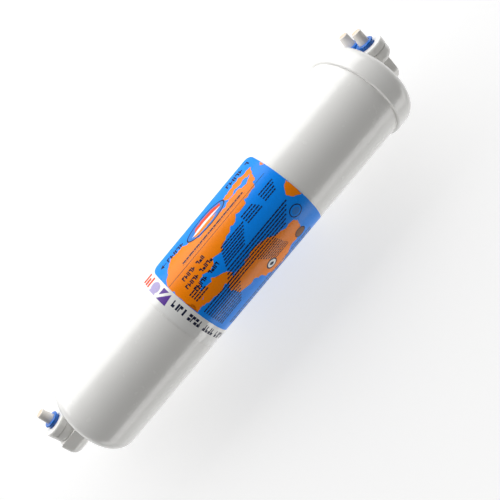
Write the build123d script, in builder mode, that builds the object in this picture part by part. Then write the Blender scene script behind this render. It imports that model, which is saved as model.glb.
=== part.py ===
from build123d import *

import math
import os

# Inline water filter: a round welded tube with a domed outlet end, a ringed inlet cap, a twin
# push-fit block at the inlet and a push-fit elbow at the outlet. Millimetres.
# +X runs along the tube from the outlet to the inlet, +Z is up, and the ports lean up from +Y.
# The origin is on the tube's axis, in the middle of the straight wall that clips hold.

# ---- tube ----
BODY_R = 31.75  # 2.5 inch tube
WALL = 2.85
INNER_R = BODY_R - WALL
BODY_LENGTH = 265.5  # crown to the cap's seam
DOME_LENGTH = 12.415  # crown to where the rounded end meets the straight wall
DOME_X = -(BODY_LENGTH + DOME_LENGTH) / 2  # top of the closed end's crown
SEAM_X = DOME_X + BODY_LENGTH
CROWN_R = 160.0  # gentle crown of the closed end
DOME_FILLET = 9.5
LABEL_START_X = DOME_X + 91.5
LABEL_END_X = DOME_X + 194.8
PANEL_DEPTH = 0.15  # the label lies in a shallow panel, so a clip slides past it
PANEL_MARGIN = 1.0
SPIGOT_R = 30.3  # what the cap slips over
SPIGOT_LENGTH = 9.0
WELD_GAP = 0.05  # clearance that stands for a welded or bonded line

# ---- end cap ----
CAP_R = 33.4
CAP_LENGTH = 15.9  # seam to the flat face
CAP_FACE_X = SEAM_X + CAP_LENGTH
CAP_ROOF = 3.4
CAP_FILLET = 8.0
CAP_LIP_FILLET = 0.8

# ---- bosses that carry the fittings ----
BOSS_R = 13.2
BOSS_HEIGHT = 1.8
BOSS_CHAMFER = 0.7
BOSS_BORE_R = 6.05
OUTLET_STEP_R = 10.6  # a second, smaller step on the outlet's boss
OUTLET_STEP_HEIGHT = 2.2

# ---- fittings ----
STEM_R = 6.0
STEM_BORE_R = 2.6
SEAL_GROOVE_R = 4.6
SEAL_GROOVE_WIDTH = 1.8
SEAL_WIRE_R = 0.7
BLOCK_HALF_WIDTH = 9.0  # a fitting's block has flat sides and a half-round bottom
INLET_BLOCK_LENGTH = 13.0  # along X
INLET_BLOCK_TOP = 9.5  # towards the ports, from the tube's axis
INLET_BLOCK_ROUND = -4.0  # centre of the half-round bottom
OUTLET_BLOCK_TOP = 5.0
OUTLET_BLOCK_ROUND = -1.8
INLET_BLOCK_FILLET = 1.2
OUTLET_BLOCK_FILLET = 4.0
PASSAGE_R = 1.9
CROSS_PASSAGE_R = 2.2
PASSAGE_OVERLAP = 0.5

# ---- push-fit ports for 1/4 inch tube ----
PORT_LEAN = 20.0  # degrees from +Y up towards +Z
PORT_SPACING = 13.2
HEAD_R = 9.0
HEAD_HEIGHT = 4.8  # head face to the groove line
GROOVE_DEPTH = 0.45
GROOVE_WIDTH = 0.6
BARREL_LENGTH = 13.6
BARREL_FILLET = 4.5
BARREL_FACETS = 5  # straight steps round the closed end's edge
HEAD_EDGE_FILLET = 1.3
INLET_HEAD_RISE = 18.8  # head face from the tube's axis
OUTLET_HEAD_RISE = 16.1
INLET_PORT_X = CAP_FACE_X + 9.2
OUTLET_PORT_X = DOME_X - 11.3
OUTLET_BLOCK_END_X = OUTLET_PORT_X - HEAD_R - 0.2
TUBE_R = 3.175
SOCKET_R = 3.23
SOCKET_TOP = -8.9  # depths are measured from the head face, outwards positive
SOCKET_FLOOR = -12.0
GLAND_R = 4.95
GLAND_TOP = -7.05
COUNTERBORE_R = 6.3
INSERT_R = 6.25
INSERT_DEPTH = -4.6
INSERT_BORE_R = 4.78
INSERT_CHAMFER = 0.35
COLLET_R = 4.6
COLLET_BORE_R = 3.32
COLLET_FLANGE_R = 5.25
COLLET_FLANGE_BOTTOM = 1.65
COLLET_FLANGE_TOP = 3.05
COLLET_TIP = -2.95
COLLET_SLOTS = 4
COLLET_SLOT_WIDTH = 0.9
GRIP_TOP = -4.65
GRIP_THICKNESS = 0.3
GRIP_RIM_R = 4.9
GRIP_TIP_R = 3.2
GRIP_DROP = 1.35
GRIP_TEETH = 8
GRIP_SLOT_WIDTH = 0.7
SPACER_TOP = -5.0
SPACER_BOTTOM = -7.0
SPACER_MOUTH_R = 5.3
SPACER_BORE_R = 3.5
O_RING_WIRE_R = 0.85
O_RING_R = 3.19 + O_RING_WIRE_R
O_RING_DEPTH = -7.95
PLUG_TIP = -8.8
PLUG_TIP_R = 2.7
PLUG_TAPER_START = 3.2
PLUG_END = 11.2
PLUG_END_R = 2.8

# ---- filter block inside ----
BLOCK_R = 25.0
BLOCK_BORE_R = 6.1
BLOCK_START_X = DOME_X + 23.0
BLOCK_END_X = SEAM_X - 8.0
CORE_R = 6.0
CORE_BORE_R = 4.8
CORE_HOLE_R = 0.9
CORE_HOLE_ROWS = 14
WRAP_THICKNESS = 0.85
NET_THICKNESS = 0.55
NET_ROWS = 12
NET_COLUMNS = 10
LAYER_GAP = 0.05
BLOCK_CAP_R = 27.4
BLOCK_CAP_THICKNESS = 2.5
BLOCK_CAP_SKIRT = 6.0
GASKET_THICKNESS = 0.8
FIN_R = 28.7
FIN_WIDTH = 1.6
FIN_COUNT = 4
COLLAR_R = 10.6
COLLAR_BORE_R = 8.0
COLLAR_END_X = DOME_X + 15.0
NIPPLE_R = 7.8
NIPPLE_BORE_R = 4.0
NIPPLE_GROOVE_R = 6.4
NIPPLE_GROOVE_WIDTH = 1.8
NIPPLE_SEAL_WIRE_R = 0.78
NIPPLE_SEALS_X = (DOME_X + 8.4, DOME_X + 12.0)
NIPPLE_TIP_X = DOME_X + 5.6

# ---- label ----
LABEL_INNER_R = BODY_R - PANEL_DEPTH + 0.02
LABEL_OUTER_R = BODY_R - 0.02
LABEL_FROM = 28.0  # degrees from +Y up towards +Z
LABEL_SWEEP = 212.0

ALONG = Axis.X
PORT_OUT = Vector(0, math.cos(math.radians(PORT_LEAN)), math.sin(math.radians(PORT_LEAN)))
PORT_SIDE = Vector(0, -math.sin(math.radians(PORT_LEAN)), math.cos(math.radians(PORT_LEAN)))


def port_head(x, side, rise):
    """The centre of a port's head face."""
    return Vector(x, 0, 0) + PORT_SIDE * side + PORT_OUT * rise


PORTS = {
    "inlet_a": port_head(INLET_PORT_X, PORT_SPACING / 2, INLET_HEAD_RISE),
    "inlet_b": port_head(INLET_PORT_X, -PORT_SPACING / 2, INLET_HEAD_RISE),
    "outlet": port_head(OUTLET_PORT_X, 0, OUTLET_HEAD_RISE),
}


def half_plane(head):
    """A sketch plane on a port's axis: local x is the radius, local y runs out of the port."""
    return Plane(origin=head, x_dir=(1, 0, 0), z_dir=PORT_SIDE)


def port_axis(head):
    return Axis(head, PORT_OUT)


def turned(outline, plane, axis, arc=360.0):
    """A solid of revolution from a closed outline of corner points."""
    with BuildPart() as piece:
        with BuildSketch(plane):
            with BuildLine():
                Polyline(*outline, close=True)
            make_face()
        revolve(axis=axis, revolution_arc=arc)
    return piece


def ring_seal(centre, direction, ring_r, wire_r):
    """A round-section ring about a line."""
    with BuildPart() as piece:
        with BuildSketch(Plane(origin=centre, x_dir=direction.cross(PORT_SIDE), z_dir=PORT_SIDE)):
            with Locations((ring_r, 0)):
                Circle(wire_r)
        revolve(axis=Axis(centre, direction))
    return piece


def keep(piece, name):
    """Labels a finished piece and writes its file."""
    part = piece.part
    part.label = name
    export_step(part, f"parts/{name}.step")


# ---- housing and cap ----
def make_housing():
    crown_drop = CROWN_R - math.sqrt(CROWN_R**2 - BODY_R**2)
    panel_r = BODY_R - PANEL_DEPTH
    panel_from = LABEL_START_X - PANEL_MARGIN
    panel_to = LABEL_END_X + PANEL_MARGIN
    spigot_end = SEAM_X + SPIGOT_LENGTH
    inner_start = DOME_X + WALL
    inner_drop = crown_drop * (INNER_R / BODY_R) ** 2
    with BuildPart() as housing:
        with BuildSketch(Plane.XY):
            with BuildLine():
                RadiusArc((DOME_X, 0), (DOME_X + crown_drop, BODY_R), -CROWN_R)
                Polyline(
                    (DOME_X + crown_drop, BODY_R),
                    (panel_from, BODY_R),
                    (panel_from, panel_r),
                    (panel_to, panel_r),
                    (panel_to, BODY_R),
                    (SEAM_X, BODY_R),
                    (SEAM_X, SPIGOT_R),
                    (spigot_end, SPIGOT_R),
                    (spigot_end, 0),
                    (DOME_X, 0),
                )
            make_face()
            fillet(vertices().group_by(Axis.X)[1].sort_by(Axis.Y)[-1], DOME_FILLET)
        revolve(axis=ALONG)
        with BuildSketch(Plane.XY):
            with BuildLine():
                RadiusArc((inner_start, 0), (inner_start + inner_drop, INNER_R), -CROWN_R)
                Polyline(
                    (inner_start + inner_drop, INNER_R),
                    (spigot_end, INNER_R),
                    (spigot_end, 0),
                    (inner_start, 0),
                )
            make_face()
            fillet(vertices().group_by(Axis.X)[1].sort_by(Axis.Y)[-1], DOME_FILLET - WALL)
        revolve(axis=ALONG, mode=Mode.SUBTRACT)
        # stepped boss outside and the nipple's collar inside
        with BuildSketch(Plane.XY):
            with BuildLine():
                Polyline(
                    (DOME_X + WALL, 0),
                    (DOME_X + WALL, BOSS_R),
                    (DOME_X - BOSS_HEIGHT + BOSS_CHAMFER, BOSS_R),
                    (DOME_X - BOSS_HEIGHT, BOSS_R - BOSS_CHAMFER),
                    (DOME_X - BOSS_HEIGHT, OUTLET_STEP_R),
                    (DOME_X - BOSS_HEIGHT - OUTLET_STEP_HEIGHT, OUTLET_STEP_R),
                    (DOME_X - BOSS_HEIGHT - OUTLET_STEP_HEIGHT, 0),
                    close=True,
                )
            make_face()
        revolve(axis=ALONG)
        with BuildSketch(Plane.YZ.offset(DOME_X + 1)):
            Circle(COLLAR_R)
        extrude(amount=COLLAR_END_X - DOME_X - 1)
        with BuildSketch(Plane.YZ.offset(DOME_X + WALL)):
            Circle(COLLAR_BORE_R)
        extrude(amount=COLLAR_END_X - DOME_X - WALL, mode=Mode.SUBTRACT)
        with BuildSketch(Plane.YZ.offset(DOME_X - BOSS_HEIGHT - OUTLET_STEP_HEIGHT)):
            Circle(BOSS_BORE_R)
        extrude(amount=BOSS_HEIGHT + OUTLET_STEP_HEIGHT + WALL + 1, mode=Mode.SUBTRACT)
    return housing


def make_end_cap():
    spigot_end = SEAM_X + SPIGOT_LENGTH
    boss_face = CAP_FACE_X + BOSS_HEIGHT
    with BuildPart() as cap:
        with BuildSketch(Plane.XY):
            with BuildLine():
                Polyline(
                    (SEAM_X + WELD_GAP, SPIGOT_R + WELD_GAP),
                    (SEAM_X + WELD_GAP, CAP_R),
                    (CAP_FACE_X, CAP_R),
                    (CAP_FACE_X, 0),
                    (CAP_FACE_X - CAP_ROOF, 0),
                    (CAP_FACE_X - CAP_ROOF, INNER_R),
                    (spigot_end + WELD_GAP, INNER_R),
                    (spigot_end + WELD_GAP, SPIGOT_R + WELD_GAP),
                    close=True,
                )
            make_face()
            fillet(vertices().group_by(Axis.Y)[-1].sort_by(Axis.X)[-1], CAP_FILLET)
            fillet(vertices().group_by(Axis.Y)[-1].sort_by(Axis.X)[0], CAP_LIP_FILLET)
        revolve(axis=ALONG)
        with BuildSketch(Plane.XY):
            with BuildLine():
                Polyline(
                    (CAP_FACE_X - CAP_ROOF, 0),
                    (CAP_FACE_X - CAP_ROOF, BOSS_R),
                    (boss_face - BOSS_CHAMFER, BOSS_R),
                    (boss_face, BOSS_R - BOSS_CHAMFER),
                    (boss_face, 0),
                    close=True,
                )
            make_face()
        revolve(axis=ALONG)
        with BuildSketch(Plane.YZ.offset(CAP_FACE_X - CAP_ROOF)):
            Circle(BOSS_BORE_R)
        extrude(amount=CAP_ROOF + BOSS_HEIGHT, mode=Mode.SUBTRACT)
    return cap


# ---- fittings ----
def cavity_outline():
    """Half section of what is hollow in a port: counterbore, seal gland and tube socket."""
    return [
        (0, 0),
        (COUNTERBORE_R, 0),
        (COUNTERBORE_R, GLAND_TOP),
        (GLAND_R, GLAND_TOP),
        (GLAND_R, SOCKET_TOP),
        (SOCKET_R, SOCKET_TOP),
        (SOCKET_R, SOCKET_FLOOR),
        (0, SOCKET_FLOOR),
    ]


def barrel_outline():
    """Half section of a port's barrel: head, groove line and rounded closed end."""
    waist_r = HEAD_R - GROOVE_DEPTH / 2
    outline = [
        (0, 0),
        (HEAD_R - HEAD_EDGE_FILLET, 0),
        (HEAD_R - 0.3 * HEAD_EDGE_FILLET, -0.3 * HEAD_EDGE_FILLET),
        (HEAD_R, -HEAD_EDGE_FILLET),
        (HEAD_R, -HEAD_HEIGHT),
        (HEAD_R - GROOVE_DEPTH, -HEAD_HEIGHT - GROOVE_WIDTH / 2),
        (waist_r, -HEAD_HEIGHT - GROOVE_WIDTH),
    ]
    for facet in range(BARREL_FACETS + 1):
        turn = math.radians(90 * facet / BARREL_FACETS)
        outline.append((
            waist_r - BARREL_FILLET * (1 - math.cos(turn)),
            -BARREL_LENGTH + BARREL_FILLET * (1 - math.sin(turn)),
        ))
    return outline + [(0, -BARREL_LENGTH)]


def make_barrel(head):
    return turned(barrel_outline(), half_plane(head), port_axis(head))


def make_cavity(head):
    return turned(cavity_outline(), half_plane(head), port_axis(head))


def passage_plane(head):
    """Where a port's narrow passage starts, just inside its socket's floor."""
    floor = head + PORT_OUT * (SOCKET_FLOOR + PASSAGE_OVERLAP)
    return Plane(origin=floor, x_dir=(1, 0, 0), z_dir=-PORT_OUT)


def stem_outline(base_x, inward, length):
    """Half section of a fitting's stem with its seal groove; inward is +1 or -1 along X."""
    groove = length / 2 - SEAL_GROOVE_WIDTH / 2
    steps = [
        (-1.0, 0),
        (-1.0, STEM_R),
        (groove, STEM_R),
        (groove, SEAL_GROOVE_R),
        (groove + SEAL_GROOVE_WIDTH, SEAL_GROOVE_R),
        (groove + SEAL_GROOVE_WIDTH, STEM_R),
        (length, STEM_R),
        (length, 0),
    ]
    return [(base_x + inward * along, radius) for along, radius in steps]


def make_stem(base_x, inward, length):
    return turned(stem_outline(base_x, inward, length), Plane.XY, ALONG)


def make_block(base_x, length, top, round_centre, edge_fillet):
    """A fitting's block from base_x along X, flat towards the ports and half round below."""
    with BuildPart() as block:
        with BuildSketch(Plane(origin=(base_x, 0, 0), x_dir=-PORT_SIDE, z_dir=(1, 0, 0))):
            with Locations((0, round_centre)):
                Circle(BLOCK_HALF_WIDTH)
            with Locations((0, (top + round_centre) / 2)):
                Rectangle(2 * BLOCK_HALF_WIDTH, top - round_centre)
        extrude(amount=length)
        outer_face = faces().sort_by(Axis.X)[-1 if length > 0 else 0]
        fillet(outer_face.edges(), edge_fillet)
    return block


OUTLET_BASE_X = DOME_X - BOSS_HEIGHT - OUTLET_STEP_HEIGHT
OUTLET_STEM_LENGTH = BOSS_HEIGHT + OUTLET_STEP_HEIGHT + WALL - 0.4
INLET_BASE_X = CAP_FACE_X + BOSS_HEIGHT
INLET_STEM_LENGTH = CAP_ROOF + BOSS_HEIGHT


def make_outlet_elbow():
    head = PORTS["outlet"]
    block_length = OUTLET_BLOCK_END_X - OUTLET_BASE_X + WELD_GAP
    base_x = OUTLET_BASE_X - WELD_GAP
    block = make_block(base_x, block_length, OUTLET_BLOCK_TOP, OUTLET_BLOCK_ROUND, OUTLET_BLOCK_FILLET)
    barrel = make_barrel(head)
    stem = make_stem(OUTLET_BASE_X, 1, OUTLET_STEM_LENGTH)
    cavity = make_cavity(head)
    with BuildPart() as elbow:
        add(block.part)
        add(barrel.part)
        # the barrel is cut flat where it meets the boss
        with BuildSketch(Plane.YZ.offset(base_x)):
            Circle(OUTLET_STEP_R + WELD_GAP)
        extrude(amount=OUTLET_STEP_HEIGHT, mode=Mode.SUBTRACT)
        add(stem.part)
        add(cavity.part, mode=Mode.SUBTRACT)
        with BuildSketch(passage_plane(head)):
            Circle(PASSAGE_R)
        extrude(amount=OUTLET_HEAD_RISE + SOCKET_FLOOR + PASSAGE_OVERLAP, mode=Mode.SUBTRACT)
        with BuildSketch(Plane.YZ.offset(OUTLET_PORT_X - PASSAGE_R)):
            Circle(STEM_BORE_R)
        extrude(amount=OUTLET_BASE_X + OUTLET_STEM_LENGTH - OUTLET_PORT_X + PASSAGE_R, mode=Mode.SUBTRACT)
    return elbow


def make_inlet_twin():
    heads = [PORTS["inlet_a"], PORTS["inlet_b"]]
    base_x = INLET_BASE_X + WELD_GAP
    block_length = INLET_BLOCK_LENGTH - WELD_GAP
    block = make_block(base_x, block_length, INLET_BLOCK_TOP, INLET_BLOCK_ROUND, INLET_BLOCK_FILLET)
    barrels = [make_barrel(head) for head in heads]
    cavities = [make_cavity(head) for head in heads]
    stem = make_stem(INLET_BASE_X, -1, INLET_STEM_LENGTH)
    with BuildPart() as twin:
        add(block.part)
        add([barrel.part for barrel in barrels])
        # the barrels are cut flat where they meet the boss
        with BuildSketch(Plane.YZ.offset(base_x)):
            Circle(BOSS_R + WELD_GAP)
        extrude(amount=-BOSS_HEIGHT, mode=Mode.SUBTRACT)
        add(stem.part)
        add([cavity.part for cavity in cavities], mode=Mode.SUBTRACT)
        for head in heads:
            with BuildSketch(passage_plane(head)):
                Circle(PASSAGE_R)
            extrude(amount=INLET_HEAD_RISE + SOCKET_FLOOR + PASSAGE_OVERLAP, mode=Mode.SUBTRACT)
        cross_start = Vector(INLET_PORT_X, 0, 0) - PORT_SIDE * (PORT_SPACING / 2 + CROSS_PASSAGE_R)
        with BuildSketch(Plane(origin=cross_start, x_dir=(1, 0, 0), z_dir=PORT_SIDE)):
            Circle(CROSS_PASSAGE_R)
        extrude(amount=PORT_SPACING + 2 * CROSS_PASSAGE_R, mode=Mode.SUBTRACT)
        with BuildSketch(Plane.YZ.offset(INLET_BASE_X - INLET_STEM_LENGTH)):
            Circle(STEM_BORE_R)
        extrude(amount=INLET_PORT_X + PASSAGE_R - INLET_BASE_X + INLET_STEM_LENGTH, mode=Mode.SUBTRACT)
    return twin


# ---- what is inside each port ----
def make_insert(head):
    """Ring that closes the head round the collet."""
    return turned(
        [
            (INSERT_BORE_R, -INSERT_CHAMFER),
            (INSERT_BORE_R + INSERT_CHAMFER, 0),
            (INSERT_R, 0),
            (INSERT_R, INSERT_DEPTH),
            (INSERT_BORE_R, INSERT_DEPTH),
        ],
        half_plane(head),
        port_axis(head),
    )


def make_collet(head):
    """Release collet: a flange to press, and a slotted sleeve."""
    edge = 0.4
    sleeve = turned(
        [
            (COLLET_BORE_R, COLLET_TIP),
            (COLLET_R - edge, COLLET_TIP),
            (COLLET_R, COLLET_TIP + edge),
            (COLLET_R, COLLET_FLANGE_BOTTOM),
            (COLLET_FLANGE_R - edge, COLLET_FLANGE_BOTTOM),
            (COLLET_FLANGE_R, COLLET_FLANGE_BOTTOM + edge),
            (COLLET_FLANGE_R, COLLET_FLANGE_TOP - edge),
            (COLLET_FLANGE_R - edge, COLLET_FLANGE_TOP),
            (COLLET_BORE_R + edge, COLLET_FLANGE_TOP),
            (COLLET_BORE_R, COLLET_FLANGE_TOP - edge),
        ],
        half_plane(head),
        port_axis(head),
    )
    slot_top = COLLET_FLANGE_BOTTOM - 1.2
    with BuildPart() as collet:
        add(sleeve.part)
        with BuildSketch(Plane(origin=head + PORT_OUT * (COLLET_TIP - 0.5), x_dir=(1, 0, 0), z_dir=PORT_OUT)):
            with PolarLocations(0, COLLET_SLOTS // 2, angular_range=180):
                Rectangle(2 * COLLET_FLANGE_R, COLLET_SLOT_WIDTH)
        extrude(amount=slot_top - COLLET_TIP + 0.5, mode=Mode.SUBTRACT)
    return collet


def make_grip_ring(head):
    """Thin steel ring with teeth that lean inwards along the tube's way in."""
    under = GRIP_TOP - GRIP_THICKNESS
    disc = turned(
        [
            (GRIP_RIM_R, GRIP_TOP),
            (INSERT_R, GRIP_TOP),
            (INSERT_R, under),
            (GRIP_RIM_R, under),
            (GRIP_TIP_R, under - GRIP_DROP),
            (GRIP_TIP_R, GRIP_TOP - GRIP_DROP),
        ],
        half_plane(head),
        port_axis(head),
    )
    with BuildPart() as grip:
        add(disc.part)
        with BuildSketch(Plane(origin=head + PORT_OUT * (under - GRIP_DROP - 0.5), x_dir=(1, 0, 0), z_dir=PORT_OUT)):
            with PolarLocations(0, GRIP_TEETH // 2, angular_range=180):
                Rectangle(2 * GRIP_RIM_R, GRIP_SLOT_WIDTH)
        extrude(amount=GRIP_DROP + GRIP_THICKNESS + 1, mode=Mode.SUBTRACT)
    return grip


def make_spacer(head):
    """Washer that backs the O-ring and lets the teeth bend."""
    return turned(
        [
            (SPACER_MOUTH_R, SPACER_TOP),
            (INSERT_R, SPACER_TOP),
            (INSERT_R, SPACER_BOTTOM),
            (SPACER_BORE_R, SPACER_BOTTOM),
            (SPACER_BORE_R, SPACER_BOTTOM + 0.3),
        ],
        half_plane(head),
        port_axis(head),
    )


def make_plug(head):
    """Solid shipping plug: a straight shank in the seal and a slightly tapered end to pull."""
    return turned(
        [
            (0, PLUG_TIP),
            (PLUG_TIP_R, PLUG_TIP),
            (TUBE_R, PLUG_TIP + 0.8),
            (TUBE_R, PLUG_TAPER_START),
            (PLUG_END_R, PLUG_END - 0.3),
            (PLUG_END_R - 0.3, PLUG_END),
            (0, PLUG_END),
        ],
        half_plane(head),
        port_axis(head),
    )


# ---- filter block ----
def sleeve_along(start_x, end_x, inner_r, outer_r):
    return turned(
        [(start_x, inner_r), (start_x, outer_r), (end_x, outer_r), (end_x, inner_r)], Plane.XY, ALONG
    )


def make_core_tube():
    start_x = BLOCK_START_X
    length = BLOCK_END_X - start_x
    pitch = length / CORE_HOLE_ROWS
    tube = sleeve_along(start_x, BLOCK_END_X, CORE_BORE_R, CORE_R)
    with BuildPart() as core:
        add(tube.part)
        for across in (Plane.XY, Plane.XZ):
            with BuildSketch(across.offset(-CORE_R - 1)):
                with Locations((start_x + length / 2, 0)):
                    with GridLocations(pitch, 0, CORE_HOLE_ROWS, 1):
                        Circle(CORE_HOLE_R)
            extrude(amount=2 * CORE_R + 2, mode=Mode.SUBTRACT)
    return core


def make_netting():
    inner_r = BLOCK_R + WRAP_THICKNESS + 2 * LAYER_GAP
    length = BLOCK_END_X - BLOCK_START_X
    pitch = (length - 2 * BLOCK_CAP_SKIRT) / NET_ROWS
    window = pitch - 4.0
    tube = sleeve_along(BLOCK_START_X, BLOCK_END_X, inner_r, inner_r + NET_THICKNESS)
    width = 2 * math.pi * inner_r / NET_COLUMNS - 4.0
    with BuildPart() as netting:
        add(tube.part)
        for turn in range(NET_COLUMNS // 2):
            across = Plane.XY.rotated((turn * 360 / NET_COLUMNS, 0, 0))
            with BuildSketch(across.offset(-inner_r - 2)):
                with Locations((BLOCK_START_X + length / 2, 0)):
                    with GridLocations(pitch, 0, NET_ROWS, 1):
                        Rectangle(window, width)
            extrude(amount=2 * inner_r + 4, mode=Mode.SUBTRACT)
    return netting


def cap_outline(face_x, inward):
    """Half section of a cap that is glued on the block's end; inward points at the block."""
    skirt_r = BLOCK_R + WRAP_THICKNESS + 2 * LAYER_GAP + NET_THICKNESS + LAYER_GAP
    steps = [
        (0, 0),
        (0, BLOCK_CAP_R),
        (BLOCK_CAP_THICKNESS + BLOCK_CAP_SKIRT, BLOCK_CAP_R),
        (BLOCK_CAP_THICKNESS + BLOCK_CAP_SKIRT, skirt_r),
        (BLOCK_CAP_THICKNESS, skirt_r),
        (BLOCK_CAP_THICKNESS, 0),
    ]
    return [(face_x + inward * along, radius) for along, radius in steps]


def make_closed_cap():
    face_x = BLOCK_END_X + GASKET_THICKNESS + LAYER_GAP + BLOCK_CAP_THICKNESS
    disc = turned(cap_outline(face_x, -1), Plane.XY, ALONG)
    with BuildPart() as cap:
        add(disc.part)
        with BuildSketch(Plane.YZ.offset(face_x)):
            with PolarLocations(0, FIN_COUNT // 2, angular_range=180):
                Rectangle(2 * FIN_R, FIN_WIDTH)
            Circle(BLOCK_CAP_R - 0.5, mode=Mode.SUBTRACT)
        extrude(amount=-BLOCK_CAP_THICKNESS - BLOCK_CAP_SKIRT)
        with BuildSketch(Plane.YZ.offset(face_x - BLOCK_CAP_THICKNESS)):
            Circle(CORE_BORE_R - LAYER_GAP)
        extrude(amount=-5)
    return cap


def make_open_cap():
    face_x = BLOCK_START_X - GASKET_THICKNESS - LAYER_GAP - BLOCK_CAP_THICKNESS
    disc = turned(cap_outline(face_x, 1), Plane.XY, ALONG)
    outline = [(face_x + 0.5, 0), (face_x + 0.5, NIPPLE_R)]
    for seal_x in reversed(NIPPLE_SEALS_X):
        outline += [
            (seal_x + NIPPLE_GROOVE_WIDTH / 2, NIPPLE_R),
            (seal_x + NIPPLE_GROOVE_WIDTH / 2, NIPPLE_GROOVE_R),
            (seal_x - NIPPLE_GROOVE_WIDTH / 2, NIPPLE_GROOVE_R),
            (seal_x - NIPPLE_GROOVE_WIDTH / 2, NIPPLE_R),
        ]
    outline += [(NIPPLE_TIP_X, NIPPLE_R), (NIPPLE_TIP_X, 0)]
    nipple = turned(outline, Plane.XY, ALONG)
    with BuildPart() as cap:
        add(disc.part)
        add(nipple.part)
        with BuildSketch(Plane.YZ.offset(NIPPLE_TIP_X)):
            Circle(NIPPLE_BORE_R)
        extrude(amount=BLOCK_START_X - NIPPLE_TIP_X, mode=Mode.SUBTRACT)
    return cap


def make_nipple_seals():
    with BuildPart() as seals:
        for seal_x in NIPPLE_SEALS_X:
            with BuildSketch(Plane.XY):
                with Locations((seal_x, NIPPLE_GROOVE_R + 0.02 + NIPPLE_SEAL_WIRE_R)):
                    Circle(NIPPLE_SEAL_WIRE_R)
            revolve(axis=ALONG)
    return seals


def make_gaskets():
    with BuildPart() as gaskets:
        for start_x in (BLOCK_START_X - GASKET_THICKNESS, BLOCK_END_X):
            with BuildSketch(Plane.YZ.offset(start_x)):
                Circle(BLOCK_R)
                Circle(BLOCK_BORE_R, mode=Mode.SUBTRACT)
            extrude(amount=GASKET_THICKNESS)
    return gaskets


def make_label():
    turn = math.radians(LABEL_FROM)
    radial = Vector(0, math.cos(turn), math.sin(turn))
    start = Plane(origin=(0, 0, 0), x_dir=(1, 0, 0), z_dir=Vector(1, 0, 0).cross(radial))
    return turned(
        [
            (LABEL_START_X, LABEL_INNER_R),
            (LABEL_START_X, LABEL_OUTER_R),
            (LABEL_END_X, LABEL_OUTER_R),
            (LABEL_END_X, LABEL_INNER_R),
        ],
        start,
        ALONG,
        LABEL_SWEEP,
    )


# ---- write every piece ----
os.makedirs("parts", exist_ok=True)

keep(make_housing(), "housing_body")
keep(make_end_cap(), "end_cap")
keep(make_outlet_elbow(), "outlet_elbow_fitting")
keep(make_inlet_twin(), "inlet_twin_fitting")

for port_name, port_centre in PORTS.items():
    keep(make_insert(port_centre), f"{port_name}_insert")
    keep(make_collet(port_centre), f"{port_name}_collet")
    keep(make_grip_ring(port_centre), f"{port_name}_grip_ring")
    keep(make_spacer(port_centre), f"{port_name}_spacer")
    seal_centre = port_centre + PORT_OUT * O_RING_DEPTH
    keep(ring_seal(seal_centre, PORT_OUT, O_RING_R, O_RING_WIRE_R), f"{port_name}_o_ring")
    keep(make_plug(port_centre), f"{port_name}_plug")

STEM_SEAL_R = SEAL_GROOVE_R + 0.02 + SEAL_WIRE_R
outlet_seal_x = OUTLET_BASE_X + OUTLET_STEM_LENGTH / 2
inlet_seal_x = INLET_BASE_X - INLET_STEM_LENGTH / 2
keep(ring_seal(Vector(outlet_seal_x, 0, 0), Vector(1, 0, 0), STEM_SEAL_R, SEAL_WIRE_R), "outlet_stem_seal")
keep(ring_seal(Vector(inlet_seal_x, 0, 0), Vector(1, 0, 0), STEM_SEAL_R, SEAL_WIRE_R), "inlet_stem_seal")

keep(make_label(), "label")

wrap_r = BLOCK_R + LAYER_GAP
keep(sleeve_along(BLOCK_START_X, BLOCK_END_X, BLOCK_BORE_R, BLOCK_R), "carbon_block")
keep(sleeve_along(BLOCK_START_X, BLOCK_END_X, wrap_r, wrap_r + WRAP_THICKNESS), "prefilter_wrap")
keep(make_netting(), "outer_netting")
keep(make_core_tube(), "core_tube")
keep(make_closed_cap(), "block_closed_cap")
keep(make_open_cap(), "block_open_cap")
keep(make_nipple_seals(), "nipple_o_rings")
keep(make_gaskets(), "block_gaskets")
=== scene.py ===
import math

import bmesh
import bpy
from mathutils import Matrix, Vector


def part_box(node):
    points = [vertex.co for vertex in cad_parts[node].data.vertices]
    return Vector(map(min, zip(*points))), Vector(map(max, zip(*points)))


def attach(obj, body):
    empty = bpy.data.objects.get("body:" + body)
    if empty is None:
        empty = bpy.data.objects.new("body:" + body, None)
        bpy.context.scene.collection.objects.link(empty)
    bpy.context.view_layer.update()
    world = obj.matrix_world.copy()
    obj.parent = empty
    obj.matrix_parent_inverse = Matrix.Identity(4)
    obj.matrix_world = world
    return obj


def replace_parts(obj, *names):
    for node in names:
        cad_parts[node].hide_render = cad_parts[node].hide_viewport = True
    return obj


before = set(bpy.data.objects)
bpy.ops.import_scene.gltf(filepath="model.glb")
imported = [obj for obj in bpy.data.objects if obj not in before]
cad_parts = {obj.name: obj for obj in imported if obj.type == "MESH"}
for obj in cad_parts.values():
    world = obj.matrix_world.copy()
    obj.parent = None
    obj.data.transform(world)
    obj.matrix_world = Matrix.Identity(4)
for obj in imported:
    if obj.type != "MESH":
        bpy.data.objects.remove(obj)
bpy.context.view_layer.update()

# An inline water filter lying on a white table: +X from the outlet to the inlet, +Z up, metres.
MM = 0.001

# ---- places that come from the frame ----
LABEL_LOW, LABEL_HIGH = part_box("label")
CAP_LOW, CAP_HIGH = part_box("end_cap")
BODY_R = 31.75 * MM
SEAM_X = CAP_LOW.x
CAP_R = CAP_HIGH.z

# ---- camera ----
LENS_MM = 32.4
SENSOR_MM = 36.0
CAMERA_SHIFT = (0.1288, -0.0496)
CAMERA_HEIGHT = 0.2875
CAMERA_TILT = 1.6  # degrees off straight down, towards the inlet
TUBE_SLANT = 50.32  # degrees that the tube rises across the picture
CAMERA_FROM_SEAM = -0.1198
CAMERA_ASIDE = 0.0304


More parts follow.
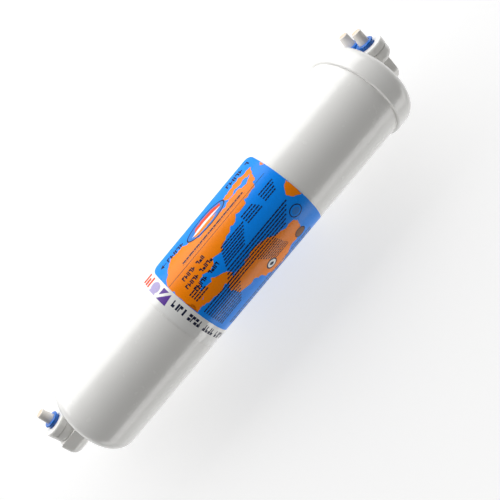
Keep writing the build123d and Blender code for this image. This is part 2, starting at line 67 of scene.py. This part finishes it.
def make_camera():
    data = bpy.data.cameras.new("camera")
    data.lens = LENS_MM
    data.sensor_width = SENSOR_MM
    data.shift_x, data.shift_y = CAMERA_SHIFT
    data.clip_start = 0.01
    data.clip_end = 20.0
    camera = bpy.data.objects.new("camera", data)
    bpy.context.scene.collection.objects.link(camera)
    tilt = Matrix.Rotation(math.radians(CAMERA_TILT), 4, "Y")
    slant = Matrix.Rotation(math.radians(-TUBE_SLANT), 4, "Z")
    place = Matrix.Translation((SEAM_X + CAMERA_FROM_SEAM, CAMERA_ASIDE, CAMERA_HEIGHT))
    camera.matrix_world = place @ tilt @ slant
    bpy.context.scene.camera = camera


# ---- floor and light ----
FLOOR_SIZE = 8.0
FLOOR_DROP = 0.3 * MM
SKY_GLOW = 0.05
BANK_LENGTH = 3.0
BANK_DISTANCE = 1.0
BODY_MIDDLE = 0.13  # from the seam back to the tube's middle
LIGHT_SCALE = 3.1416  # watts per square metre for a glow of one
BANKS = [
    ("key", 1, 5.0, 42.0, 4.0, (1.0, 1.0, 1.0)),
    ("fill", -1, 1.0, 20.0, 3.1, (1.0, 0.995, 0.98)),
]


def add_bank(name, side, low, high, glow, colour):
    """A long soft light beside the tube, between two heights in degrees above the floor.

    The side is +1 or -1 along Y.
    """
    data = bpy.data.lights.new(name, "AREA")
    data.shape = "RECTANGLE"
    middle = math.radians((low + high) / 2)
    data.size = BANK_LENGTH
    data.size_y = 2 * BANK_DISTANCE * math.tan(math.radians((high - low) / 2))
    data.energy = glow * data.size * data.size_y * LIGHT_SCALE
    data.color = colour
    light = bpy.data.objects.new(name, data)
    bpy.context.scene.collection.objects.link(light)
    towards = Vector((0.0, side * math.cos(middle), math.sin(middle)))
    light.location = Vector((SEAM_X - BODY_MIDDLE, 0.0, 0.0)) + towards * BANK_DISTANCE
    light.rotation_mode = "QUATERNION"
    light.rotation_quaternion = towards.to_track_quat("Z", "Y")


def floor_material():
    """White table whose own faint glow keeps shadows pale."""
    nodes = Nodes("floor_paint")
    mottle = nodes.noise(3.0, detail=2.0)
    nodes.colour(nodes.ramp(mottle, [(0.3, (0.59, 0.59, 0.59)), (0.7, (0.61, 0.61, 0.61))]))
    nodes.set(Roughness=0.9, Emission_Color=(1.0, 1.0, 1.0, 1.0), Emission_Strength=0.62)
    return nodes.material


def make_stage():
    mesh = bpy.data.meshes.new("floor")
    half = FLOOR_SIZE / 2
    height = -CAP_R - FLOOR_DROP
    corners = [(-half, -half, height), (half, -half, height), (half, half, height), (-half, half, height)]
    mesh.from_pydata(corners, [], [(0, 1, 2, 3)])
    floor = bpy.data.objects.new("floor", mesh)
    bpy.context.scene.collection.objects.link(floor)
    mesh.materials.append(floor_material())

    world = bpy.data.worlds.new("studio")
    world.use_nodes = True
    background = world.node_tree.nodes["Background"]
    background.inputs["Color"].default_value = (1.0, 1.0, 1.0, 1.0)
    background.inputs["Strength"].default_value = SKY_GLOW
    bpy.context.scene.world = world

    for name, side, low, high, glow, colour in BANKS:
        add_bank(name, side, low, high, glow, colour)
    bpy.context.scene.view_settings.view_transform = "Standard"


# ---- material kit ----
class Nodes:
    """A material's node tree with short calls for the nodes that these materials share."""

    def __init__(self, name):
        self.material = bpy.data.materials.new(name)
        self.material.use_nodes = True
        self.tree = self.material.node_tree
        self.shader = self.tree.nodes["Principled BSDF"]

    def add(self, kind, **settings):
        node = self.tree.nodes.new(kind)
        for key, value in settings.items():
            setattr(node, key, value)
        return node

    def link(self, start, end):
        self.tree.links.new(start, end)

    def place(self):
        return self.add("ShaderNodeTexCoord").outputs["Object"]

    def noise(self, scale, detail=3.0, rough=0.5, source=None):
        node = self.add("ShaderNodeTexNoise")
        node.inputs["Scale"].default_value = scale
        node.inputs["Detail"].default_value = detail
        node.inputs["Roughness"].default_value = rough
        self.link(source or self.place(), node.inputs["Vector"])
        return node.outputs["Fac"]

    def stretched(self, scale):
        """Object coordinates pulled out along each axis."""
        mapping = self.add("ShaderNodeMapping")
        mapping.inputs["Scale"].default_value = scale
        self.link(self.place(), mapping.inputs["Vector"])
        return mapping.outputs["Vector"]

    def ramp(self, source, stops):
        node = self.add("ShaderNodeValToRGB")
        while len(node.color_ramp.elements) < len(stops):
            node.color_ramp.elements.new(0.5)
        for element, (position, colour) in zip(node.color_ramp.elements, stops):
            element.position = position
            element.color = (*colour, 1.0)
        self.link(source, node.inputs["Fac"])
        return node.outputs["Color"]

    def spread(self, source, low, high):
        """The source, from 0 to 1, stretched to run from low to high."""
        node = self.add("ShaderNodeMapRange")
        node.inputs["From Min"].default_value = 0.25
        node.inputs["From Max"].default_value = 0.75
        node.inputs["To Min"].default_value = low
        node.inputs["To Max"].default_value = high
        self.link(source, node.inputs["Value"])
        return node.outputs["Result"]

    def colour(self, socket):
        self.link(socket, self.shader.inputs["Base Color"])

    def roughness(self, socket):
        self.link(socket, self.shader.inputs["Roughness"])

    def bump(self, height, strength, distance):
        node = self.add("ShaderNodeBump")
        node.inputs["Strength"].default_value = strength
        node.inputs["Distance"].default_value = distance
        self.link(height, node.inputs["Height"])
        self.link(node.outputs["Normal"], self.shader.inputs["Normal"])

    def set(self, **values):
        for key, value in values.items():
            self.shader.inputs[key.replace("_", " ")].default_value = value


def tinted(colour, factor):
    return tuple(min(1.0, channel * factor) for channel in colour)


def plastic(name, colour, roughness=0.3, grain=1.0, blotch=0.035, coat=0.0):
    """Moulded plastic: faint flow blotches, uneven gloss and a fine moulded skin."""
    nodes = Nodes(name)
    flow = nodes.noise(22.0, detail=2.0)
    shades = [(0.3, tinted(colour, 1.0 - blotch)), (0.7, tinted(colour, 1.0 + blotch / 2))]
    nodes.colour(nodes.ramp(flow, shades))
    nodes.roughness(nodes.spread(nodes.noise(160.0, detail=4.0), roughness * 0.85, roughness * 1.2))
    if grain:
        skin = nodes.noise(900.0, detail=3.0)
        nodes.bump(skin, 0.12 * grain, 0.05 * MM)
    nodes.set(Coat_Weight=coat, Coat_Roughness=0.12)
    return nodes.material


# ---- materials of the CAD nodes ----
OFF_WHITE = (0.80, 0.795, 0.775)
FITTING_WHITE = (0.80, 0.79, 0.765)


def collet_material():
    nodes = Nodes("collet_blue")
    shade = nodes.noise(180.0, detail=2.0)
    nodes.colour(nodes.ramp(shade, [(0.3, (0.0, 0.11, 0.50)), (0.7, (0.0, 0.16, 0.64))]))
    nodes.roughness(nodes.spread(nodes.noise(900.0), 0.22, 0.36))
    nodes.bump(nodes.noise(2600.0), 0.08, 0.03 * MM)
    nodes.set(Coat_Weight=0.25, Coat_Roughness=0.15)
    return nodes.material


def steel_material():
    nodes = Nodes("spring_steel")
    lines = nodes.noise(300.0, detail=3.0, source=nodes.stretched((1.0, 14.0, 14.0)))
    nodes.colour(nodes.ramp(lines, [(0.3, (0.46, 0.46, 0.47)), (0.7, (0.66, 0.66, 0.66))]))
    nodes.roughness(nodes.spread(lines, 0.18, 0.34))
    nodes.set(Metallic=1.0)
    return nodes.material


def rubber_material():
    nodes = Nodes("seal_rubber")
    dust = nodes.noise(700.0, detail=4.0)
    nodes.colour(nodes.ramp(dust, [(0.35, (0.012, 0.012, 0.013)), (0.8, (0.035, 0.035, 0.036))]))
    nodes.roughness(nodes.spread(dust, 0.5, 0.7))
    nodes.bump(nodes.noise(2400.0), 0.2, 0.03 * MM)
    return nodes.material


def carbon_material():
    nodes = Nodes("carbon_block")
    grit = nodes.noise(1400.0, detail=6.0, rough=0.7)
    shades = [(0.3, (0.008, 0.008, 0.009)), (0.65, (0.03, 0.03, 0.032)), (0.85, (0.09, 0.09, 0.09))]
    nodes.colour(nodes.ramp(grit, shades))
    nodes.roughness(nodes.spread(grit, 0.75, 0.95))
    nodes.bump(grit, 0.6, 0.2 * MM)
    return nodes.material


def felt_material():
    nodes = Nodes("felt_wrap")
    fibres = nodes.noise(1100.0, detail=5.0, source=nodes.stretched((0.3, 1.0, 1.0)))
    nodes.colour(nodes.ramp(fibres, [(0.3, (0.66, 0.66, 0.63)), (0.7, (0.84, 0.84, 0.82))]))
    nodes.roughness(nodes.spread(fibres, 0.85, 0.97))
    nodes.bump(fibres, 0.7, 0.15 * MM)
    nodes.set(Sheen_Weight=0.3)
    return nodes.material


def dress_cad_nodes():
    """Gives every CAD node a finish by its name."""
    housing = plastic("housing_plastic", OFF_WHITE, roughness=0.24, coat=0.15)
    cap = plastic("cap_plastic", OFF_WHITE, roughness=0.22, coat=0.15)
    fitting = plastic("fitting_plastic", FITTING_WHITE, roughness=0.2, coat=0.25)
    spacer = plastic("spacer_nylon", (0.16, 0.16, 0.175), roughness=0.5)
    plug = plastic("plug_plastic", (0.80, 0.765, 0.715), roughness=0.42, grain=2.0)
    film = plastic("label_film", (0.80, 0.80, 0.79), roughness=0.16, coat=0.3)
    netting = plastic("net_plastic", (0.72, 0.72, 0.70), roughness=0.45)
    block_cap = plastic("block_cap_plastic", (0.68, 0.68, 0.65), roughness=0.4)
    collet = collet_material()
    steel = steel_material()
    rubber = rubber_material()
    finishes = [
        ("housing_body", housing),
        ("end_cap", cap),
        ("_fitting", fitting),
        ("_insert", fitting),
        ("_collet", collet),
        ("_grip_ring", steel),
        ("_spacer", spacer),
        ("o_ring", rubber),
        ("_seal", rubber),
        ("_gaskets", rubber),
        ("_plug", plug),
        ("label", film),
        ("carbon_block", carbon_material()),
        ("prefilter_wrap", felt_material()),
        ("netting", netting),
        ("core_tube", netting),
        ("_cap", block_cap),
    ]
    for name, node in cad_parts.items():
        finish = next(material for part, material in finishes if part in name)
        node.data.materials.clear()
        node.data.materials.append(finish)


# ---- cut ends of the plugs ----
PORT_LEAN = math.radians(20.0)  # the ports lean up from +Y towards +Z
PORT_OUT = Vector((0.0, math.cos(PORT_LEAN), math.sin(PORT_LEAN)))
PLUG_FACE_R = 2.45 * MM
PLUG_FACE_LIFT = 0.02 * MM
PLUG_FACE_POINTS = 32


def make_plug_face(plug_name, material):
    """The flat end of a plug, a little darker and warmer than its sides."""
    corners = [vertex.co.copy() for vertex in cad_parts[plug_name].data.vertices]
    reach = max(corner.dot(PORT_OUT) for corner in corners)
    rim = [corner for corner in corners if corner.dot(PORT_OUT) > reach - 0.05 * MM]
    centre = sum(rim, Vector()) / len(rim) + PORT_OUT * PLUG_FACE_LIFT
    side = Vector((1.0, 0.0, 0.0))
    across = PORT_OUT.cross(side)
    points = []
    for step in range(PLUG_FACE_POINTS):
        angle = 2 * math.pi * step / PLUG_FACE_POINTS
        points.append(centre + (side * math.cos(angle) + across * math.sin(angle)) * PLUG_FACE_R)
    mesh = bpy.data.meshes.new(f"{plug_name}_face")
    mesh.from_pydata(points, [], [tuple(range(PLUG_FACE_POINTS))])
    mesh.materials.append(material)
    face = bpy.data.objects.new(f"{plug_name}_face", mesh)
    bpy.context.scene.collection.objects.link(face)
    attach(face, plug_name)


def make_plug_faces():
    cut_end = plastic("plug_cut_end", (0.72, 0.54, 0.42), roughness=0.55, grain=2.0)
    for plug_name in ("inlet_a_plug", "inlet_b_plug", "outlet_plug"):
        make_plug_face(plug_name, cut_end)


# ---- label ----
PRINT_START = 12.6 * MM  # clear band below the print
PRINT_LENGTH = LABEL_HIGH.x - LABEL_LOW.x - PRINT_START
PRINT_X = LABEL_LOW.x + PRINT_START
LABEL_FROM = 28.0  # degrees from +Y up towards +Z
LABEL_TO = 240.0
STEP = 2.0  # degrees between the lines that bend a flat shape round the tube
INK_LIFT = 0.012 * MM


def wrapped(name, outlines, material, layer):
    """Flat closed outlines laid on the tube as one piece.

    Each point is in millimetres up the print and degrees round the tube.
    """
    bm = bmesh.new()
    for outline in outlines:
        corners = [bm.verts.new((up, turn, 0.0)) for up, turn in outline]
        face = bm.faces.new(corners)
        bmesh.ops.triangulate(bm, faces=[face])
    lowest = min(v.co.y for v in bm.verts)
    highest = max(v.co.y for v in bm.verts)
    turn = STEP * math.ceil(lowest / STEP + 0.01)
    while turn < highest:
        everything = [*bm.verts, *bm.edges, *bm.faces]
        bmesh.ops.bisect_plane(bm, geom=everything, plane_co=(0, turn, 0), plane_no=(0, 1, 0), dist=1e-4)
        turn += STEP
    radius = BODY_R + layer * INK_LIFT
    for v in bm.verts:
        angle = math.radians(v.co.y)
        v.co = Vector((PRINT_X + v.co.x * MM, radius * math.cos(angle), radius * math.sin(angle)))
    bmesh.ops.recalc_face_normals(bm, faces=bm.faces)
    bm.normal_update()
    for face in bm.faces:
        centre = face.calc_center_median()
        if face.normal.dot(Vector((0.0, centre.y, centre.z))) < 0:
            face.normal_flip()
        face.smooth = True
    mesh = bpy.data.meshes.new(name)
    bm.to_mesh(mesh)
    bm.free()
    mesh.materials.append(material)
    piece = bpy.data.objects.new(name, mesh)
    bpy.context.scene.collection.objects.link(piece)
    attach(piece, "filter")
    return piece


DEGREE_MM = BODY_R / MM * math.radians(1.0)  # millimetres round the tube in one degree


def rounded_box(up_from, up_to, turn_from, turn_to, corner=0.0):
    """A rectangle with rounded corners; the corner radius is in millimetres."""
    if corner <= 0.0:
        return [(up_from, turn_from), (up_to, turn_from), (up_to, turn_to), (up_from, turn_to)]
    wide = corner / DEGREE_MM
    centres = [
        (up_to - corner, turn_from + wide, -90.0),
        (up_to - corner, turn_to - wide, 0.0),
        (up_from + corner, turn_to - wide, 90.0),
        (up_from + corner, turn_from + wide, 180.0),
    ]
    points = []
    for up, turn, start in centres:
        for step in range(7):
            angle = math.radians(start + 15.0 * step)
            points.append((up + corner * math.cos(angle), turn + wide * math.sin(angle)))
    return points


def ellipse(up, turn, half_up, half_round, lean=0.0, points=48):
    """An oval; both halves are in millimetres, and lean turns it, in degrees."""
    outline = []
    for step in range(points):
        angle = 2 * math.pi * step / points
        along = half_up * math.cos(angle)
        across = half_round * math.sin(angle)
        turned = math.radians(lean)
        outline.append((
            up + along * math.cos(turned) - across * math.sin(turned),
            turn + (along * math.sin(turned) + across * math.cos(turned)) / DEGREE_MM,
        ))
    return outline


def hashed(number):
    """A repeatable value between -1 and 1 for any number."""
    return 2.0 * ((math.sin(number * 12.9898) * 43758.5453) % 1.0) - 1.0


def torn(points, rough=1.6, seed=0.0, rounds=4):
    """A closed outline through a few corners, its edges broken up finer and finer like torn paper."""
    outline = [(up, turn * DEGREE_MM) for up, turn in points]
    for step in range(rounds):
        finer = []
        for index, start in enumerate(outline):
            end = outline[(index + 1) % len(outline)]
            reach = math.dist(start, end)
            if reach < 0.6:
                finer.append(start)
                continue
            push = hashed(seed + 7.3 * step + 1.7 * index) * rough * min(1.0, reach / 8.0)
            normal = ((start[1] - end[1]) / reach, (end[0] - start[0]) / reach)
            middle = ((start[0] + end[0]) / 2 + normal[0] * push, (start[1] + end[1]) / 2 + normal[1] * push)
            finer += [start, middle]
        outline = finer
    top = PRINT_LENGTH / MM - 0.1
    return [(min(max(up, 0.1), top), across / DEGREE_MM) for up, across in outline]


def ink(name, colour, roughness=0.3, speckle=0.05):
    """Printed ink under clear film: a faint print screen and even gloss."""
    nodes = Nodes(name)
    screen = nodes.noise(1500.0, detail=1.0)
    shades = [(0.3, tinted(colour, 1.0 - speckle)), (0.7, tinted(colour, 1.0 + speckle))]
    nodes.colour(nodes.ramp(screen, shades))
    nodes.roughness(nodes.spread(nodes.noise(120.0), roughness * 0.85, roughness * 1.25))
    nodes.set(Specular_IOR_Level=0.26)
    return nodes.material


def dashes(up_from, up_to, turn, height, pattern):
    """A row of small bars that stands for a line of print; pattern gives word lengths in millimetres."""
    bars = []
    up = up_from
    index = 0
    gap = 0.35 * height * DEGREE_MM
    while up < up_to:
        length = pattern[index % len(pattern)]
        end = min(up + length, up_to)
        if end - up > 0.5:
            bars.append(rounded_box(up, end, turn, turn + height))
        up = end + gap
        index += 1
    return bars


GLYPH_STROKE = 0.42  # share of a cell's length that an upright takes
GLYPH_BAND = 0.36  # share of a cell's height that a crossing band takes


def glyph(up, turn, length, height, kind):
    """Two or three strokes in a small cell that look like a letter from afar and are none."""
    stroke = GLYPH_STROKE * length
    band = GLYPH_BAND * height
    upright = rounded_box(up, up + stroke, turn, turn + height)
    far_upright = rounded_box(up + length - stroke, up + length, turn, turn + height)
    base = rounded_box(up, up + length, turn + height - band, turn + height)
    head = rounded_box(up, up + length, turn, turn + band)
    middle = rounded_box(up, up + length, turn + 0.4 * height, turn + 0.4 * height + band)
    choices = [
        (upright, head),
        (upright, far_upright),
        (base, middle),
        (upright, middle),
        (head, far_upright),
    ]
    return list(choices[kind % len(choices)])


def glyphs(up_from, up_to, turn, height, length):
    """A line of letter-like cells along the tube, in groups."""
    cells = []
    up = up_from
    index = 0
    while up + length <= up_to:
        if index % 6 != 5:
            cells += glyph(up, turn, length, height, index * 3 + index // 4)
        up += length * 1.18
        index += 1
    return cells


def glyph_line(up, turn_from, turn_to, length, height):
    """A line of letter-like cells that runs round the tube, in groups."""
    cells = []
    turn = turn_from
    index = 0
    while turn + height <= turn_to:
        if index % 5 != 4:
            cells += glyph(up, turn, length, height, index * 2 + index // 3)
        turn += height * 1.2
        index += 1
    return cells


TOP = PRINT_LENGTH / MM
SHEET_CORNER = 5.0
PRINT_CORNER = 4.6


def make_sheet():
    """The clear film, which takes the place of the CAD label."""
    film = plastic("clear_film", (0.80, 0.80, 0.785), roughness=0.14, grain=0.4, coat=0.4)
    low = -PRINT_START / MM
    sheet = rounded_box(low, TOP, LABEL_FROM, LABEL_TO, SHEET_CORNER)
    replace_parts(wrapped("label_sheet", [sheet], film, 0), "label")


def make_torn_shapes(orange):
    """Torn orange areas on the blue ground."""
    main_shape = torn([
        (0.4, 60), (6, 54), (10, 43), (18, 42), (26, 46), (33, 50), (44, 53), (56, 52), (64, 52), (71, 51),
        (77, 53), (83, 49), (81, 57), (77, 63), (72, 64), (66, 68), (58, 67), (50, 71), (43, 76), (36, 81),
        (29, 80), (24, 84), (19, 80), (14, 86), (10, 96), (5, 101), (0.4, 102), (0.4, 80),
    ], rough=2.0)
    streak_shape = torn([
        (59, 43), (66, 42), (72, 41), (78, 43), (85, 44), (83, 49), (76, 47), (68, 47), (61, 48),
    ], seed=5.0)
    finger_shape = torn([
        (3, 101), (9, 97), (16, 92), (21, 90), (24, 95), (28, 97), (31, 103), (27, 108), (22, 103),
        (16, 106), (9, 105),
    ], rough=2.2, seed=9.0)
    side_shape = torn([
        (22, 116), (25, 108), (32, 106), (38, 111), (41, 105), (46, 104), (54, 106), (63, 114), (71, 118),
        (78, 123), (77, 132), (73, 139), (64, 145), (54, 156), (46, 150), (41, 136), (36, 130), (29, 128),
        (24, 124),
    ], rough=1.8, seed=2.0)
    corner_shape = torn([(90.4, 84), (87, 87), (84, 95), (86, 101), (90.4, 106)], seed=4.0, rough=0.9)
    speck_shape = torn([(90.4, 49), (88.6, 52), (90.4, 55)], seed=4.0, rough=0.4)
    shapes = [main_shape, streak_shape, finger_shape, side_shape, corner_shape, speck_shape]
    for index, shape in enumerate(shapes):
        wrapped(f"label_orange_{index}", [shape], orange, 2 + 0.1 * index)


def make_emblem(navy, mid_blue, red, orange, white):
    """A plain oval with a drop on two bands."""
    wrapped("emblem_rim", [ellipse(43.5, 44.0, 16.6, 4.7, 1.5)], navy, 3)
    wrapped("emblem_field", [ellipse(43.5, 44.0, 15.6, 4.0, 1.5)], mid_blue, 4)
    band = torn([(36, 39.5), (48, 39.0), (57, 42.5), (56, 46), (45, 45), (34, 43.5)], rough=0.6)
    wrapped("emblem_band", [band], red, 5)
    sweep = torn([(33, 44.5), (45, 46), (52, 48.5), (40, 49.5), (32, 47.5)], rough=0.5)
    wrapped("emblem_sweep", [sweep], orange, 5)
    drop = [(30.5, 45.0), (36, 43.2), (43, 42.8), (50, 43.8), (57, 46.0), (50, 46.0), (43, 45.8), (36, 46.2)]
    wrapped("emblem_drop", [drop], white, 6)


def make_print(navy):
    """Headings, flow arrow, rules and rows of bars that stand for text."""
    heading = glyphs(66.5, 89.0, 33.2, 5.2, 2.5) + glyphs(10.5, 26.5, 36.0, 4.8, 2.5)
    arrow = [[(4.0, 38.6), (7.0, 36.0), (7.0, 38.1), (9.5, 38.1), (9.5, 39.1), (7.0, 39.1), (7.0, 41.2)]]
    rule = [rounded_box(0.8, 86.0, 61.8, 62.25), rounded_box(15.0, 71.0, 58.9, 59.1)]
    wrapped("label_heading", heading + arrow + rule, navy, 3)

    large = []
    for row, (start, end) in enumerate([(9.0, 29.0), (7.0, 30.0), (9.5, 31.5)]):
        large += glyphs(start, end, 67.0 + 8.0 * row, 4.4, 1.75)
    wrapped("label_large_print", large, navy, 3)

    fine = dashes(16.0, 70.0, 56.2, 1.7, (3.0, 2.1, 4.2, 1.6))
    for row in range(4):
        fine += dashes(5.0, 13.0 + row, 84.0 + 3.0 * row, 1.5, (1.6, 2.4, 1.2))
    for row in range(7):
        fine += dashes(37.0 - row, 57.0 - 1.5 * row, 77.5 + 2.6 * row, 1.3, (2.4, 3.1, 1.6, 2.0))
    for row in range(4):
        fine += dashes(58.0, 68.0 + row, 73.0 + 3.0 * row, 1.4, (1.8, 2.6, 1.2))
    for row in range(4):
        fine += dashes(74.0, 86.0 - row, 72.0 + 3.0 * row, 1.4, (1.6, 2.2, 1.1))
    for row in range(6):
        fine += dashes(30.0 - 2.0 * row, 82.0 - 2.0 * row, 97.0 + 3.2 * row, 1.4, (2.2, 3.4, 1.5, 2.8, 1.9))
    for row in range(10):
        fine += dashes(3.0, 34.0 - 1.4 * row, 107.0 + 3.2 * row, 1.3, (2.8, 1.7, 2.3, 3.3))
    for row in range(8):
        fine += dashes(46.0 + row, 62.0 + 0.5 * row, 116.0 + 2.6 * row, 1.2, (1.4, 2.2, 1.8))
    for row in range(16):
        fine += dashes(6.0, 82.0, 150.0 + 5.2 * row, 1.9, (3.1, 2.0, 4.0, 1.5, 2.7))
    wrapped("label_fine_print", fine, navy, 4)


def make_round_marks(navy, white, blue, mid_blue):
    """Three plain round marks."""
    rims = [ellipse(49.5, 136.5, 4.0, 3.6), ellipse(81.0, 113.5, 4.3, 3.8), ellipse(74.5, 139.0, 4.0, 3.6)]
    wrapped("label_mark_rim", rims, navy, 5)
    wrapped("label_mark_face", [ellipse(49.5, 136.5, 3.1, 2.7)], white, 6)
    wrapped("label_mark_core", [ellipse(49.5, 136.5, 1.5, 1.2, 30.0)], navy, 7)
    wrapped("label_mark_blue", [ellipse(81.0, 113.5, 3.7, 3.2)], blue, 6)
    wrapped("label_mark_blue_core", [ellipse(81.0, 113.5, 2.5, 2.0)], mid_blue, 7)
    brown = ink("ink_brown", (0.22, 0.09, 0.03))
    wrapped("label_mark_brown", [ellipse(74.5, 139.0, 3.4, 3.0)], brown, 6)


def make_loose_marks(navy, red):
    """Below the print: bars, a disc and two wedges, then a line of small cells round the tube."""
    lavender = ink("ink_lavender", (0.42, 0.36, 0.62))
    purple = ink("ink_purple", (0.11, 0.04, 0.30))
    bars = [
        rounded_box(-8.8, -1.6, 29.5, 32.5, 0.6),
        rounded_box(-8.8, -3.6, 34.0, 37.0, 0.6),
        rounded_box(-8.8, -1.6, 38.5, 41.0, 0.6),
    ]
    disc = [ellipse(-5.2, 49.5, 3.5, 3.2), rounded_box(-9.2, -8.0, 45.0, 54.0)]
    wedges = [[(-9.2, 58.0), (-1.6, 70.0), (-9.2, 71.5)], [(-1.6, 58.0), (-1.6, 66.0), (-6.6, 58.0)]]
    wrapped("label_mark_red", bars, red, 2)
    wrapped("label_mark_lavender", disc, lavender, 2)
    wrapped("label_mark_purple", wedges, purple, 2)
    wrapped("label_line", glyph_line(-6.6, 76.0, 172.0, 4.2, 3.6), navy, 2)


def make_label():
    make_sheet()
    blue = ink("ink_blue", (0.003, 0.25, 0.90))
    mid_blue = ink("ink_mid_blue", (0.03, 0.20, 0.62))
    orange = ink("ink_orange", (0.92, 0.235, 0.002))
    navy = ink("ink_navy", (0.010, 0.014, 0.045))
    white = ink("ink_white", (0.80, 0.80, 0.80))
    red = ink("ink_red", (0.75, 0.07, 0.02))
    ground = rounded_box(0.0, TOP, LABEL_FROM, LABEL_TO, PRINT_CORNER)
    wrapped("label_ground", [ground], blue, 1)
    make_torn_shapes(orange)
    make_emblem(navy, mid_blue, red, orange, white)
    make_print(navy)
    make_round_marks(navy, white, blue, mid_blue)
    make_loose_marks(navy, red)


make_camera()
make_stage()
dress_cad_nodes()
make_plug_faces()
make_label()
